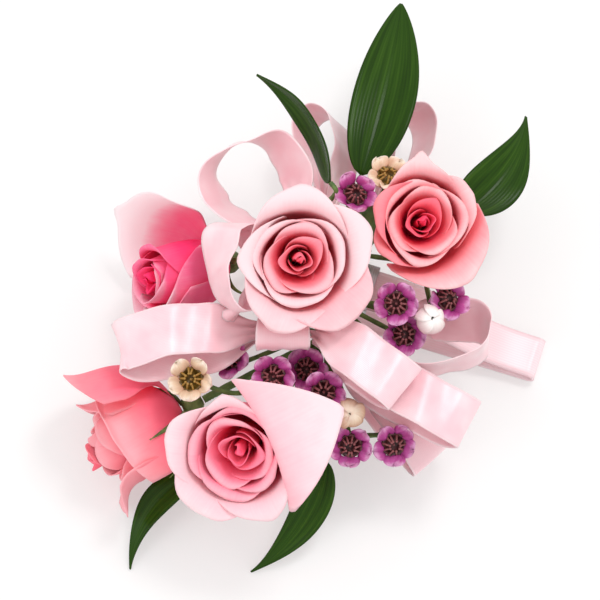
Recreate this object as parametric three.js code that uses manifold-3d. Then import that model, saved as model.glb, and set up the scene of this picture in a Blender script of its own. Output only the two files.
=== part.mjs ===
// Wrist corsage: five spray roses, ruscus leaves, wax flowers and satin ribbon loops, each wired and
// taped into one stem bundle, which a crimped clip with two folding tabs holds on an elastic wrist band.
// Millimetres, +Z up. +X runs along the flattened band and the origin is the middle of its underside.
import * as THREE from "three";
import { mergeVertices } from "three/addons/utils/BufferGeometryUtils.js";
import Module from "manifold-3d";

const wasm = await Module();
wasm.setup();

// Room left between pieces that touch.
const CLEARANCE = 0.3;

// Elastic wrist band, lying flattened: full height at the clip, pinched flat at its free end.
const BAND_WIDTH = 13;
const BAND_THICKNESS = 1;
const BAND_HEIGHT = 20;
const BAND_LEFT = -42;
const BAND_RIGHT = 44.5;
const BAND_PINCH = 5;

// Clip: a sleeve crimped round the band, and two tabs that fold over the stem bundle.
const CLIP_X = -18;
const CLIP_LENGTH = 16;
const CLIP_WALL = 0.8;
const TAB_WIDTH = 7;
const TAB_THICKNESS = 0.9;
const TAB_BEND = 1.2;
const TAB_MEETING_GAP = 1;

// Taped stem bundle across the band, with the wired stems that branch out of it.
const BUNDLE_DIAMETER = 8;
const BUNDLE_LENGTH = 48;
const STEM_DIAMETER = 2.4;
const WIRE_DIAMETER = 1.5;

// Roses.
const HIP_DIAMETER = 8;
const HIP_HEIGHT = 7;
const SEPAL_LENGTH = 9.5;
const SEPAL_THICKNESS = 0.6;
const SEAT_DIAMETER = 6.4;
const SEAT_THICKNESS = 1;
const SEAT_TAPER = 1.2;
const PETAL_THICKNESS = 0.5;
const OUTER_LENGTH = 30;
const OUTER_WIDTH = 26;
const INNER_LENGTH = 25;
const INNER_WIDTH = 17;
const HEART_LENGTH = 20;
const HEART_WIDTH = 11;
const BUD_DIAMETER = 5;

// Ribbon, leaves and wax flowers.
const RIBBON_WIDTH = 16;
const RIBBON_THICKNESS = 0.4;
const RIBBON_PINCH = 6;
const CURL_PINCH = 13;
const LEAF_THICKNESS = 0.6;
const WAX_DIAMETER = 13.5;
const WAX_CUP_DIAMETER = 6;
const WAX_CUP_DEPTH = 5;
const WAX_PETAL_THICKNESS = 0.6;
const WAX_BUD_DIAMETER = 6.5;

const corsage = new THREE.Group();
const deg = THREE.MathUtils.degToRad;
const vector = (list) => new THREE.Vector3(...list);

function material(color, roughness, metalness = 0) {
  return new THREE.MeshStandardMaterial({ color, roughness, metalness });
}

const petalPink = material("#f7a3b0", 0.55);
const petalPale = material("#fbccd4", 0.55);
const petalDeep = material("#e0355f", 0.55);
const calyxGreen = material("#5e7f3a", 0.6);
const leafGreen = material("#2f5a1e", 0.3);
const tapeGreen = material("#56733f", 0.7);
const satinPink = material("#f9d6dc", 0.35);
const bandPink = material("#f8d9dd", 0.6);
const clipMetal = material("#c9ccd0", 0.35, 0.9);
const waxPurple = material("#a9529f", 0.5);
const waxCream = material("#e7cdb4", 0.5);
const budWhite = material("#f4e6e0", 0.5);

// Solids, joins and cuts.
function closed(geometry) {
  geometry.deleteAttribute("normal");
  geometry.deleteAttribute("uv");
  return mergeVertices(geometry, 1e-4);
}

function solid(geometry) {
  const merged = closed(geometry);
  return new wasm.Manifold(
    new wasm.Mesh({
      numProp: 3,
      vertProperties: new Float32Array(merged.attributes.position.array),
      triVerts: new Uint32Array(merged.index.array),
    }),
  );
}

// Pieces grown into one body. A pocket sealed in between them comes apart as a body of its own with a
// negative volume, and is filled by leaving it out.
function joined(geometries) {
  const whole = geometries.map(solid).reduce((sum, piece) => sum.add(piece));
  const filled = whole.decompose().filter((body) => body.volume() > 0);
  const { vertProperties, triVerts } = filled.reduce((sum, piece) => sum.add(piece)).getMesh();
  const geometry = new THREE.BufferGeometry();
  geometry.setAttribute("position", new THREE.BufferAttribute(vertProperties, 3));
  geometry.setIndex(new THREE.BufferAttribute(triVerts, 1));
  geometry.computeVertexNormals();
  return geometry;
}

function node(name, geometry, look, parent = corsage) {
  const mesh = new THREE.Mesh(geometry, look);
  mesh.name = name;
  parent.add(mesh);
  return mesh;
}

// A thin skin: the surface at(u, v), u from -1 to 1 and v from 0 to 1, given an even thickness.
const SLOPE_STEP = 0.002;
function skin(at, across, along, thickness) {
  const geometry = closed(new THREE.BoxGeometry(2, 1, 1, across, along, 1));
  const places = geometry.attributes.position;
  for (let i = 0; i < places.count; i += 1) {
    const u = places.getX(i);
    const v = places.getY(i) + 0.5;
    const alongU = at(u + SLOPE_STEP, v).sub(at(u - SLOPE_STEP, v));
    const alongV = at(u, Math.min(v + SLOPE_STEP, 1)).sub(at(u, Math.max(v - SLOPE_STEP, 0)));
    const normal = alongU.cross(alongV).normalize();
    const place = at(u, v).addScaledVector(normal, places.getZ(i) * thickness);
    places.setXYZ(i, place.x, place.y, place.z);
  }
  geometry.computeVertexNormals();
  return geometry;
}

// A round bar along a curve.
function bar(curve, diameter, steps, sides) {
  const section = new THREE.Shape().absarc(0, 0, diameter / 2, 0, 2 * Math.PI);
  const settings = { steps, curveSegments: sides / 2, bevelEnabled: false, extrudePath: curve };
  return new THREE.ExtrudeGeometry(section, settings);
}

// A turned form with lobes: peak is the profile along a lobe, notch the one between two lobes.
function lobed(peak, notch, lobes, steps) {
  const profile = peak.map(([radius, height]) => new THREE.Vector2(radius, height));
  const form = new THREE.LatheGeometry(profile, lobes * steps);
  const places = form.attributes.position;
  for (let i = 0; i < places.count; i += 1) {
    const column = Math.floor(i / peak.length);
    const [radius, height] = (column % steps === 0 ? notch : peak)[i % peak.length];
    const turn = (2 * Math.PI * column) / (lobes * steps);
    places.setXYZ(i, radius * Math.sin(turn), height, radius * Math.cos(turn));
  }
  form.rotateX(Math.PI / 2);
  const merged = closed(form);
  merged.computeVertexNormals();
  return merged;
}

// Heights of what is stacked on the band.
const sleeveTop = BAND_HEIGHT + CLEARANCE + CLIP_WALL;
const sleeveBottom = BAND_HEIGHT - BAND_THICKNESS - CLEARANCE - CLIP_WALL;
const bundleHeight = sleeveTop + CLEARANCE + BUNDLE_DIAMETER / 2;

// Wrist band: one strip whose ends meet inside the sleeve.
function bandPath() {
  const half = BAND_THICKNESS / 2;
  const top = BAND_HEIGHT - half;
  const bendLeft = (top - half) / 2;
  const bendRight = (BAND_PINCH - 2 * half) / 2;
  const shoulder = CLIP_X + CLIP_LENGTH / 2 + CLEARANCE;
  const right = BAND_RIGHT - half - bendRight;
  const left = BAND_LEFT + half + bendLeft;
  const ease = (right - shoulder) / 2;
  const path = new THREE.Path();
  path.moveTo(CLIP_X + CLEARANCE, top);
  path.lineTo(shoulder, top);
  path.bezierCurveTo(shoulder + ease, top, right - ease, half + 2 * bendRight, right, half + 2 * bendRight);
  path.absarc(right, half + bendRight, bendRight, Math.PI / 2, -Math.PI / 2, true);
  path.lineTo(left, half);
  path.absarc(left, half + bendLeft, bendLeft, -Math.PI / 2, Math.PI / 2, true);
  path.lineTo(CLIP_X - CLEARANCE, top);
  return path;
}

function wristBand() {
  const path = bandPath();
  const at = (u, v) => {
    const point = path.getPointAt(v);
    return new THREE.Vector3(point.x, (u * BAND_WIDTH) / 2, point.y);
  };
  return skin(at, 1, 46, BAND_THICKNESS);
}

node("wrist_band", wristBand(), bandPink);

// Clip sleeve: a flat tube crimped round the band.
function roundedRectangle(shape, width, height, radius) {
  const x = width / 2;
  const y = height / 2;
  shape.moveTo(-x + radius, -y);
  shape.lineTo(x - radius, -y);
  shape.absarc(x - radius, -y + radius, radius, -Math.PI / 2, 0);
  shape.lineTo(x, y - radius);
  shape.absarc(x - radius, y - radius, radius, 0, Math.PI / 2);
  shape.lineTo(-x + radius, y);
  shape.absarc(-x + radius, y - radius, radius, Math.PI / 2, Math.PI);
  shape.lineTo(-x, -y + radius);
  shape.absarc(-x + radius, -y + radius, radius, Math.PI, 1.5 * Math.PI);
  return shape;
}

function clipSleeve() {
  const width = BAND_WIDTH + 2 * CLEARANCE;
  const height = BAND_THICKNESS + 2 * CLEARANCE;
  const corner = CLIP_WALL / 2;
  const wall = roundedRectangle(new THREE.Shape(), width + 2 * CLIP_WALL, height + 2 * CLIP_WALL, corner);
  wall.holes.push(roundedRectangle(new THREE.Path(), width, height, corner / 2));
  const tube = new THREE.ExtrudeGeometry(wall, { depth: CLIP_LENGTH, bevelEnabled: false, curveSegments: 2 });
  tube.translate(0, 0, -CLIP_LENGTH / 2);
  tube.rotateX(Math.PI / 2);
  tube.rotateZ(Math.PI / 2);
  return tube;
}

const sleeve = node("clip_sleeve", clipSleeve(), clipMetal);
sleeve.position.set(CLIP_X, 0, (sleeveTop + sleeveBottom) / 2);

// Clip tabs: hooked strips, each turning about the rounded root that bears on the sleeve.
const tabReach = BUNDLE_DIAMETER / 2 + CLEARANCE + TAB_THICKNESS / 2;
const tabRoot = sleeveTop + CLEARANCE + TAB_THICKNESS / 2;
function clipTab() {
  const half = TAB_THICKNESS / 2;
  const top = bundleHeight + BUNDLE_DIAMETER / 2 + CLEARANCE + TAB_THICKNESS - tabRoot;
  const lip = tabReach - TAB_MEETING_GAP / 2;
  const outer = TAB_BEND + TAB_THICKNESS;
  const shape = new THREE.Shape();
  shape.moveTo(half, 0);
  shape.lineTo(half, top - outer);
  shape.absarc(half - outer, top - outer, outer, 0, Math.PI / 2);
  shape.lineTo(-lip, top);
  shape.lineTo(-lip, top - TAB_THICKNESS);
  shape.lineTo(half - outer, top - TAB_THICKNESS);
  shape.absarc(half - outer, top - outer, TAB_BEND, Math.PI / 2, 0, true);
  shape.lineTo(-half, 0);
  shape.absarc(0, 0, half, Math.PI, 2 * Math.PI);
  const strip = new THREE.ExtrudeGeometry(shape, { depth: TAB_WIDTH, bevelEnabled: false, curveSegments: 4 });
  strip.translate(0, 0, -TAB_WIDTH / 2);
  strip.rotateX(Math.PI / 2);
  return strip;
}

const tabRight = node("clip_tab_right", clipTab(), clipMetal);
tabRight.position.set(CLIP_X + tabReach, 0, tabRoot);
const tabLeft = node("clip_tab_left", clipTab(), clipMetal);
tabLeft.position.set(CLIP_X - tabReach, 0, tabRoot);
tabLeft.rotation.z = Math.PI;

// Roses: each petal is a skin whose midrib leans out from the axis by angles at base, middle and tip.
function midrib(seat, length, lean, share) {
  const steps = 16;
  const angle = (s) => deg((1 - s) ** 2 * lean[0] + 2 * s * (1 - s) * lean[1] + s * s * lean[2]);
  let radius = seat.radius;
  let height = seat.height;
  for (let k = 0; k < steps; k += 1) {
    const middle = angle((share * (k + 0.5)) / steps);
    radius += (Math.sin(middle) * length * share) / steps;
    height += (Math.cos(middle) * length * share) / steps;
  }
  return { radius, height, lean: angle(share) };
}

const PETAL_BASE_SHARE = 0.1;
const PETAL_SHOULDER = 0.6;
const PETAL_CORNER_DROP = 0.32;
const PETAL_LAP_START = 0.12;
const MOST_WRAP = 1.9;
function petal({ seat, turn, length, width, lean, tuck, curl, cells }) {
  const spin = deg(turn);
  const at = (u, v) => {
    const share = v * (1 - PETAL_CORNER_DROP * Math.abs(u) ** 2.5);
    const rib = midrib(seat, length, lean, share);
    const swell = THREE.MathUtils.smoothstep(share, 0, PETAL_SHOULDER);
    const half = (width / 2) * (PETAL_BASE_SHARE + (1 - PETAL_BASE_SHARE) * swell);
    const bend = Math.max(rib.radius, seat.radius);
    const wrap = THREE.MathUtils.clamp((u * half) / bend, -MOST_WRAP, MOST_WRAP);
    const roll = curl * v * v * Math.max(u, 0) ** 3;
    const lap = tuck * (u + 1) * Math.min(1, v / PETAL_LAP_START);
    const out = rib.radius - bend * (1 - Math.cos(wrap)) + lap + roll * Math.cos(rib.lean);
    const place = new THREE.Vector3(out, bend * Math.sin(wrap), rib.height - roll * Math.sin(rib.lean));
    return place.applyAxisAngle(new THREE.Vector3(0, 0, 1), spin);
  };
  return skin(at, cells[0], cells[1], PETAL_THICKNESS);
}

function seatDisc(seat) {
  const wide = seat.radius + PETAL_THICKNESS;
  const disc = new THREE.CylinderGeometry(wide, wide, SEAT_THICKNESS, 8);
  disc.rotateX(Math.PI / 2);
  disc.translate(0, 0, seat.height);
  return disc;
}

// The three petal whorls stack on the hip, each on its own seat.
function seatOf(level) {
  const height = CLEARANCE + level * (SEAT_THICKNESS + CLEARANCE) + SEAT_THICKNESS / 2;
  return { radius: (SEAT_DIAMETER - level * SEAT_TAPER) / 2 - PETAL_THICKNESS, height };
}

function outerPetals(rose) {
  const seat = seatOf(0);
  const petals = rose.outer.map(([turn, longer, wider, lean]) =>
    petal({
      seat,
      turn,
      length: OUTER_LENGTH * rose.size * longer,
      width: OUTER_WIDTH * rose.size * wider,
      lean,
      tuck: 1.1,
      curl: 2,
      cells: [4, 4],
    }),
  );
  return joined([seatDisc(seat), ...petals]);
}

const INNER_TURNS = [60, 150, 240, 330];
function innerPetals(rose) {
  const seat = seatOf(1);
  const petals = INNER_TURNS.map((turn) =>
    petal({
      seat,
      turn,
      length: INNER_LENGTH * rose.size * rose.tall,
      width: INNER_WIDTH * rose.size,
      lean: rose.innerLean,
      tuck: 0.8,
      curl: 0.6,
      cells: [3, 3],
    }),
  );
  return joined([seatDisc(seat), ...petals]);
}

const HEART_TURNS = [0, 120, 240];
const HEART_LEAN = [45, -15, -12];
function heart(rose) {
  const seat = seatOf(2);
  const petals = HEART_TURNS.map((turn) =>
    petal({
      seat,
      turn,
      length: HEART_LENGTH * rose.size * rose.tall,
      width: HEART_WIDTH * rose.size,
      lean: HEART_LEAN,
      tuck: 0.6,
      curl: 0,
      cells: [3, 3],
    }),
  );
  const low = seat.height - SEAT_THICKNESS / 2;
  const high = seat.height + HEART_LENGTH * rose.size * rose.tall * 0.72;
  const profile = [
    [0, low],
    [BUD_DIAMETER * 0.4, low],
    [BUD_DIAMETER * 0.5, (low + high) / 2],
    [BUD_DIAMETER * 0.3, high - 1],
    [0, high],
  ].map(([radius, height]) => new THREE.Vector2(radius, height));
  const bud = new THREE.LatheGeometry(profile, 6);
  bud.rotateX(Math.PI / 2);
  return joined([bud, ...petals]);
}

// Hip with five narrow sepals spread under the petals.
function calyx() {
  const wide = HIP_DIAMETER / 2;
  const tip = wide + SEPAL_LENGTH;
  const hip = ([radius, low], [edge, high]) => [
    [0, -HIP_HEIGHT],
    [wide * 0.45, -HIP_HEIGHT],
    [wide * 0.9, -HIP_HEIGHT * 0.62],
    [wide * 0.95, -HIP_HEIGHT * 0.35],
    [radius, low],
    [edge, high],
    [wide * 0.9, -HIP_HEIGHT * 0.22],
    [wide * 0.75, 0],
    [0, 0],
  ];
  const sepal = hip([tip, -HIP_HEIGHT * 0.6], [tip - 0.1, -HIP_HEIGHT * 0.6 + SEPAL_THICKNESS]);
  const between = hip([wide, -HIP_HEIGHT * 0.32], [wide, -HIP_HEIGHT * 0.25]);
  return lobed(sepal, between, 5, 2);
}

// Lean of a petal at base, middle and tip, in degrees from the rose's axis.
const OPEN = [80, -25, 62];
const HALF_OPEN = [78, -28, 40];
const CUPPED = [80, -24, 22];
const FOLDED_OVER = [70, -45, 130];
const SPREAD = [105, 20, 30];
const roses = [
  {
    name: "rose_center",
    root: 13,
    by: [[-33.5, 7.5, 28.5]],
    base: [-33.2, -4.6, 41],
    facing: [0.167, -0.354, 0.92],
    size: 1,
    tall: 1,
    innerLean: [60, -20, 34],
    outer: [
      [108, 1, 1.1, OPEN],
      [40, 1, 1.1, OPEN],
      [-25, 1.05, 1.1, OPEN],
      [-95, 1, 1.1, OPEN],
      [200, 0.95, 1.1, HALF_OPEN],
    ],
  },
  {
    name: "rose_right",
    root: 20,
    base: [-3, 18, 35],
    facing: [0.185, -0.248, 0.951],
    size: 0.9,
    tall: 1,
    innerLean: [60, -20, 30],
    outer: [
      [112, 1.05, 1.1, HALF_OPEN],
      [48, 1, 1, HALF_OPEN],
      [-32, 1.1, 1.4, OPEN],
      [235, 1, 1, HALF_OPEN],
      [185, 1.05, 1.1, HALF_OPEN],
    ],
  },
  {
    name: "rose_lower",
    root: -22,
    base: [-30.2, -55.3, 25],
    facing: [-0.017, -0.593, 0.805],
    size: 1,
    tall: 1,
    innerLean: [60, -20, 30],
    outer: [
      [38, 1.65, 1.6, FOLDED_OVER],
      [-45, 1, 1, OPEN],
      [-110, 1, 1.1, OPEN],
      [185, 1, 1.1, OPEN],
      [115, 1, 1, HALF_OPEN],
    ],
  },
  {
    name: "rose_lower_left",
    root: -20,
    base: [-53, -53.5, 17.3],
    facing: [-0.68, -0.723, -0.08],
    size: 0.95,
    tall: 1.35,
    innerLean: [52, -20, 6],
    outer: [
      [45, 1.1, 1.2, CUPPED],
      [95, 1.25, 1.3, HALF_OPEN],
      [160, 1.1, 1, CUPPED],
      [232, 0.95, 1, CUPPED],
      [305, 1.2, 1.1, CUPPED],
    ],
  },
  {
    name: "rose_upper_left",
    root: 17,
    by: [[-38, 14, 18]],
    base: [-57, -4.7, 17],
    facing: [-0.641, -0.61, 0.466],
    size: 0.95,
    tall: 1.3,
    innerLean: [52, -20, 6],
    outer: [
      [114, 1.3, 1.8, SPREAD],
      [180, 1.12, 1.4, HALF_OPEN],
      [262, 1.05, 1.1, CUPPED],
      [325, 1.15, 1.2, CUPPED],
    ],
  },
];

const UP = new THREE.Vector3(0, 0, 1);
for (const rose of roses) {
  const group = new THREE.Group();
  group.position.set(...rose.base);
  group.quaternion.setFromUnitVectors(UP, vector(rose.facing).normalize());
  node(`${rose.name}_calyx`, calyx(), calyxGreen, group);
  node(`${rose.name}_outer_petals`, outerPetals(rose), petalPale, group);
  node(`${rose.name}_inner_petals`, innerPetals(rose), petalPink, group);
  node(`${rose.name}_heart`, heart(rose), petalDeep, group);
  corsage.add(group);
}

// Leaves: ovate blades that taper to a point, folded a little along the midrib and arched.
const LEAF_FOLD = deg(14);
function leafOutline(v, [rise, fall]) {
  const widest = rise / (rise + fall);
  const fullest = widest ** rise * (1 - widest) ** fall;
  return (Math.max(v, 0) ** rise * Math.max(1 - v, 0) ** fall) / fullest;
}

function leafBlade({ base, tip, width, face, arch, sweep, taper }) {
  const start = vector(base);
  const run = vector(tip).sub(start);
  const side = vector(face).cross(run).normalize();
  const lift = run.clone().cross(side).normalize();
  const at = (u, v) => {
    const half = (width / 2) * (0.05 + 0.95 * leafOutline(v, taper));
    const hump = 4 * v * (1 - v);
    return start
      .clone()
      .addScaledVector(run, v)
      .addScaledVector(side, u * half * Math.cos(LEAF_FOLD) + sweep * hump)
      .addScaledVector(lift, Math.abs(u) * half * Math.sin(LEAF_FOLD) + arch * hump);
  };
  return skin(at, 2, 8, LEAF_THICKNESS);
}

const leaves = [
  {
    name: "leaf_top",
    root: 22,
    base: [-23.5, 30, 33],
    tip: [-29.5, 90.4, 30],
    width: 20,
    face: [0.1, -0.3, 0.95],
    arch: 3,
    sweep: -1.5,
    taper: [0.6, 0.9],
  },
  {
    name: "leaf_upper_left",
    root: 15,
    by: [[-30, 14, 37]],
    base: [-30, 18.5, 49],
    tip: [-62, 45.5, 48],
    width: 13,
    face: [-0.6, -0.7, 0.25],
    arch: -6,
    sweep: 0,
    taper: [0.6, 1.2],
  },
  {
    name: "leaf_right",
    root: 22,
    base: [9.5, 29, 31],
    tip: [18.4, 67.2, 26],
    width: 17,
    face: [0.2, -0.2, 0.95],
    arch: 3,
    sweep: -3.6,
    taper: [0.5, 1.4],
  },
  {
    name: "leaf_lower_left",
    root: -23,
    by: [[-36, -52, 15]],
    base: [-44, -69, 11],
    tip: [-54.5, -101, 0.4],
    width: 10,
    face: [-0.3, -0.3, 0.9],
    arch: 3,
    sweep: -4,
    taper: [0.5, 1.3],
  },
  {
    name: "leaf_lower",
    root: -22,
    base: [-7.8, -54.9, 18],
    tip: [-19.5, -90.5, 0.4],
    width: 12,
    face: [0.3, -0.3, 0.9],
    arch: 3,
    sweep: 4,
    taper: [0.5, 1.3],
  },
];
for (const leaf of leaves) {
  node(leaf.name, leafBlade(leaf), leafGreen);
}

// Ribbon loops: wired picks of satin ribbon. Each runs out from its pinched foot, bends over and comes
// back, through points chosen by hand, with its width along one direction at the start and one at the end.
// At the foot its two ends close on the wire between them.
const LOOP_FOOT_GAP = WIRE_DIAMETER + RIBBON_THICKNESS + 2 * CLEARANCE;
function loopPath({ points, across }) {
  const [first, ...rest] = points.map(vector);
  const last = rest.pop();
  const foot = first.clone().lerp(last, 0.5);
  const outward = rest[0].clone().add(rest.at(-1)).addScaledVector(foot, -2);
  const spread = outward.cross(vector(across[0])).setLength(LOOP_FOOT_GAP / 2);
  if (spread.dot(rest[0].clone().sub(rest.at(-1))) < 0) {
    spread.negate();
  }
  const ends = [foot.clone().add(spread), foot.clone().sub(spread)];
  return new THREE.CatmullRomCurve3([ends[0], ...rest, ends[1]], false, "centripetal");
}

function ribbonLoop(loop) {
  const path = loopPath(loop);
  const length = path.getLength();
  const [first, last] = loop.across.map((list) => vector(list).normalize());
  const at = (u, v) => {
    const share = THREE.MathUtils.clamp(v, 0, 1);
    const tangent = path.getTangentAt(share);
    const side = first.clone().lerp(last, THREE.MathUtils.smoothstep(share, 0.3, 0.7));
    side.addScaledVector(tangent, -side.dot(tangent)).normalize();
    const fromFoot = Math.min(share, 1 - share) * length;
    const open = THREE.MathUtils.smoothstep(fromFoot, 0, RIBBON_WIDTH);
    const half = (loop.pinch + (RIBBON_WIDTH - loop.pinch) * open) / 2;
    return path.getPointAt(share).addScaledVector(side, u * half);
  };
  return skin(at, 2, 30, RIBBON_THICKNESS);
}

const loops = [
  {
    name: "ribbon_loop_left",
    root: -12,
    points: [
      [-37, -27, 35.5], [-42.5, -31, 40], [-51.5, -35, 43.3], [-62, -40, 45.5], [-69, -45, 45],
      [-73.5, -48, 42], [-69, -48, 38], [-59.5, -43, 36.5], [-48, -37, 36], [-37.5, -29, 34],
    ],
    across: [[-0.5, 0.86, 0], [-0.5, 0.86, 0]],
    pinch: RIBBON_PINCH,
  },
  {
    name: "ribbon_loop_upper_left",
    root: 14,
    points: [
      [-39, 6.5, 35], [-51, 3.5, 38], [-61.5, 6, 40], [-65.5, 14, 41], [-62, 24, 41],
      [-52, 28, 41], [-43, 23, 40], [-39, 14, 37], [-38.5, 8, 33.5],
    ],
    across: [[-0.37, -0.46, 0.81], [0.7, 0, 0.7]],
    pinch: RIBBON_PINCH,
  },
  {
    name: "ribbon_loop_side",
    root: -9,
    points: [
      [-43, -12.2, 36.3], [-48, -3, 43.5], [-52.8, -2.2, 48.3], [-56, -6, 50.3], [-55.3, -11.5, 52],
      [-52.5, -19.5, 53], [-48.8, -27, 52.5], [-46.5, -30.5, 50], [-46.5, -26, 47.3], [-44, -17.5, 42],
      [-43.5, -13.5, 35],
    ],
    across: [[0.78, 0.02, 0.62], [0.9, 0.2, 0.3]],
    pinch: RIBBON_PINCH,
  },
  {
    name: "ribbon_loop_top",
    root: 18,
    points: [
      [-32, 19.5, 21.5], [-38, 32, 20.4], [-44.7, 39.6, 18.4], [-46.7, 47, 18.6], [-43.6, 51.3, 20.8],
      [-37.5, 48.5, 23.3], [-32.6, 41.4, 24.5], [-30.5, 32.7, 24.1], [-30.5, 20, 22],
    ],
    across: [[-0.43, -0.14, 0.89], [-0.43, -0.14, 0.89]],
    pinch: RIBBON_PINCH,
  },
  {
    name: "ribbon_loop_top_right",
    root: 22,
    points: [
      [-16.5, 29, 18.5], [-19.6, 44.1, 19.9], [-22.3, 52.4, 21], [-20.6, 59.8, 20], [-16.1, 62.4, 17.7],
      [-12, 58.8, 15.8], [-10.1, 51.9, 15.1], [-11.2, 42.7, 15.8], [-15.5, 29, 18],
    ],
    across: [[0.44, 0.02, 0.9], [0.44, 0.02, 0.9]],
    pinch: RIBBON_PINCH,
  },
  {
    name: "ribbon_loop_curl",
    root: -14,
    points: [
      [-30.5, -25, 40], [-30.5, -25.5, 46], [-29, -30, 50], [-27.5, -34.5, 49], [-27.5, -35, 45],
      [-28.5, -32, 41.5], [-30, -27, 38.5],
    ],
    across: [[0.95, 0.31, 0], [0.95, 0.31, 0]],
    pinch: CURL_PINCH,
  },
  {
    name: "ribbon_loop_front_short",
    root: -13,
    points: [
      [-21, -25, 42], [-15.5, -26.5, 47.5], [-8, -29.5, 49.5], [1.5, -33, 49.5], [8, -35, 48],
      [10.5, -35.5, 45], [6.5, -34.5, 42], [-4.5, -30.5, 41], [-14, -27, 41], [-20, -25.5, 40],
    ],
    across: [[0.34, 0.94, 0], [0.34, 0.94, 0]],
    pinch: RIBBON_PINCH,
  },
  {
    name: "ribbon_loop_front_long",
    root: -14,
    points: [
      [-15.5, -26, 36.5], [-8, -28, 37.5], [4.5, -31.5, 38], [18, -34.5, 38], [27, -36, 36],
      [31, -36, 32], [27, -36, 28.5], [15, -34, 28], [0, -31, 29.5], [-13.5, -27.5, 34.5],
    ],
    across: [[0.2, 0.98, 0], [0.2, 0.98, 0]],
    pinch: RIBBON_PINCH,
  },
  {
    name: "ribbon_loop_lower",
    root: -16,
    points: [
      [-8, -24, 23], [-1, -27.5, 22], [8, -33, 20.5], [17, -39, 18.5], [23, -43.5, 14.5],
      [21, -42, 10], [12, -36, 9.5], [2, -30, 13], [-7, -25.5, 21],
    ],
    across: [[0.4, 0.9, 0], [0.4, 0.9, 0]],
    pinch: RIBBON_PINCH,
  },
  {
    name: "ribbon_loop_right",
    root: -10,
    points: [
      [1.5, -14.5, 25.5], [8.3, -6.7, 27], [15.6, -5, 28], [23.2, -3.3, 29], [28.1, -6.6, 30.5],
      [27.9, -12.2, 32], [23.8, -17.3, 32.5], [17.2, -21.3, 32], [10.1, -23.2, 30], [2.5, -16.5, 24],
    ],
    across: [[-0.19, 0.59, 0.79], [0.03, -0.09, 1]],
    pinch: RIBBON_PINCH,
  },
];
for (const loop of loops) {
  node(loop.name, ribbonLoop(loop), satinPink);
}

// Wax flowers: a deep cup with five round petals on its rim, and closed buds.
function waxFlower() {
  const rim = WAX_CUP_DIAMETER / 2;
  const wall = WAX_PETAL_THICKNESS;
  const edge = WAX_DIAMETER / 2;
  const flower = (radius, height) => [
    [0, -WAX_CUP_DEPTH],
    [rim * 0.45, -WAX_CUP_DEPTH],
    [rim * 0.85, -WAX_CUP_DEPTH * 0.5],
    [rim, -wall],
    [radius, height],
    [radius - wall / 2, height + wall],
    [rim - wall, 0],
    [rim * 0.55, -WAX_CUP_DEPTH * 0.45],
    [0, -WAX_CUP_DEPTH * 0.5],
  ];
  return lobed(flower(edge, rim * 0.3), flower(rim * 1.25, 0), 5, 3);
}

function waxBud() {
  const wide = WAX_BUD_DIAMETER / 2;
  const profile = [
    [0, -WAX_CUP_DEPTH],
    [wide * 0.4, -WAX_CUP_DEPTH],
    [wide * 0.7, -WAX_CUP_DEPTH * 0.5],
    [wide, 0],
    [wide * 0.75, wide * 0.7],
    [0, wide],
  ].map(([radius, height]) => new THREE.Vector2(radius, height));
  const bud = new THREE.LatheGeometry(profile, 8);
  bud.rotateX(Math.PI / 2);
  return bud;
}

const blooms = [
  { name: "wax_flower_top", place: [-22, 18, 46], facing: [0.2, 0.1, 1], look: waxPurple, root: 19 },
  { name: "wax_flower_top_cream", place: [-14.5, 28, 43], facing: [0.1, 0.3, 0.95], look: waxCream, root: 22 },
  { name: "wax_flower_right_1", place: [0, -11.5, 47], facing: [0, -0.3, 1], look: waxPurple, root: -8 },
  { name: "wax_flower_right_2", place: [4.5, -17.5, 40], facing: [0.3, -0.3, 1], look: waxPurple, root: -9 },
  {
    name: "wax_flower_right_3",
    place: [13.5, -3.5, 41],
    facing: [0.5, 0.1, 0.9],
    look: waxPurple,
    root: 8,
    by: [[2, 6, 33]],
  },
  { name: "wax_bud_right", place: [10.5, -12.5, 45], facing: [0.3, -0.2, 1], look: budWhite, root: -7 },
  { name: "wax_flower_front_1", place: [-28, -42, 40], facing: [-0.1, -0.4, 1], look: waxPurple, root: -21 },
  { name: "wax_flower_front_2", place: [-20, -35, 34.5], facing: [0, -0.4, 1], look: waxPurple, root: -19 },
  { name: "wax_flower_front_3", place: [-12.5, -42, 40], facing: [0.1, -0.4, 1], look: waxPurple, root: -20 },
  {
    name: "wax_flower_left_cream",
    place: [-50.5, -50.7, 41.7],
    facing: [-0.1, -0.3, 1],
    look: waxCream,
    root: -19,
    by: [[-37, -46, 28]],
  },
  { name: "wax_flower_left", place: [-43.3, -38, 31.5], facing: [-0.2, -0.2, 1], look: waxPurple, root: -17 },
  { name: "wax_bud_low", place: [-3.5, -45, 37], facing: [0.1, -0.3, 1], look: waxCream, root: -22 },
  { name: "wax_flower_low_1", place: [-1, -52, 29.3], facing: [0.2, -0.6, 0.8], look: waxPurple, root: -23 },
  {
    name: "wax_flower_low_2",
    place: [11, -47, 27],
    facing: [0.4, -0.5, 0.8],
    look: waxPurple,
    root: -23,
    by: [[-4, -46, 23]],
  },
];
for (const bloom of blooms) {
  const shape = bloom.name.startsWith("wax_bud") ? waxBud() : waxFlower();
  const mesh = node(bloom.name, shape, bloom.look);
  mesh.position.set(...bloom.place);
  mesh.quaternion.setFromUnitVectors(UP, vector(bloom.facing).normalize());
}

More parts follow.
